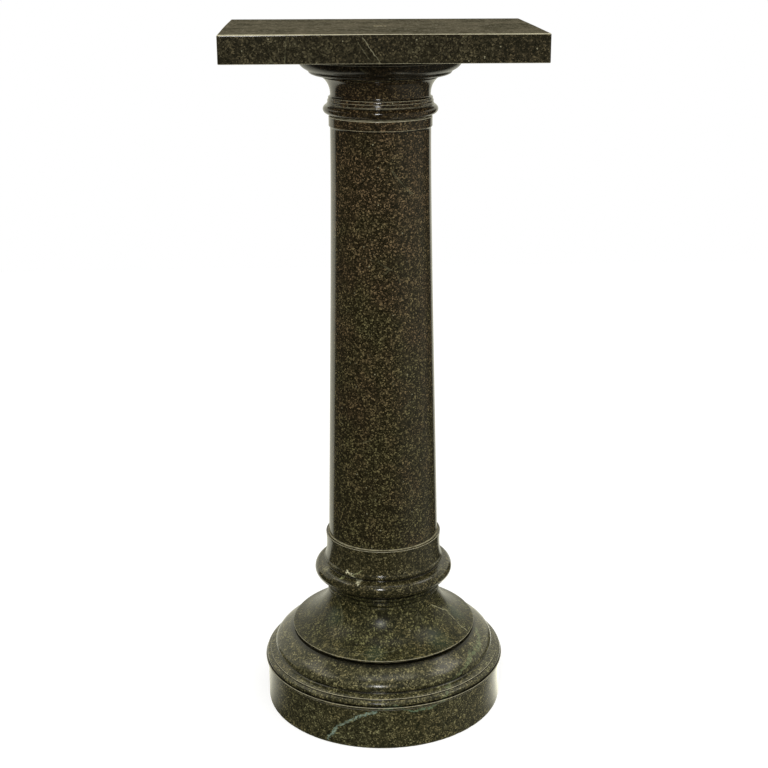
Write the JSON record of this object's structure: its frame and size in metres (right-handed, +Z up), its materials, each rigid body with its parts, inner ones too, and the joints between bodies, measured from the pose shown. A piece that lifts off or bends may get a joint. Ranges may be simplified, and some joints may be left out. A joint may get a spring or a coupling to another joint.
{
  "type": "pedestal column stand",
  "caption": "Turned stone pedestal column with a rectangular revolving slab top, tapered shaft, torus collar, spreading bell foot and round plinth.",
  "frame": {"origin": "on the column's axis, at the underside of the plinth", "axes": "+Z up along the column, +X along the slab's long side, -Y towards the front as pictured"},
  "size_m": [0.381, 0.3304, 0.914],
  "materials": {
    "stone": "polished, dark olive green with fine pale speckle and a few pale veins",
    "plaster": "matt bedding plaster",
    "iron": "blackened",
    "brass": "dull, worn"
  },
  "bodies": {
    "column": {"base_plinth": "stone", "bell_plaster": "plaster", "base_bell": "stone", "collar_plaster": "plaster", "collar": "stone", "shaft_plaster": "plaster", "shaft": "stone", "neck_plaster": "plaster", "capital_neck": "stone", "tie_rod": "iron", "lower_washer": "iron", "lower_nut": "iron", "upper_washer": "iron", "upper_nut": "iron"},
    "revolving_head": {"turning_washer": "brass", "capital_disc": "stone", "slab_plaster": "plaster", "top_slab": "stone", "slab_dowel_left": "brass", "slab_dowel_right": "brass", "pivot_bush": "brass"}
  },
  "joints": [
    {"name": "head_turn", "type": "hinge", "parent": "column", "child": "revolving_head", "pos_m": [0, 0, 0.8545], "axis": [0, 0, 1], "continuous": true}
  ]
}
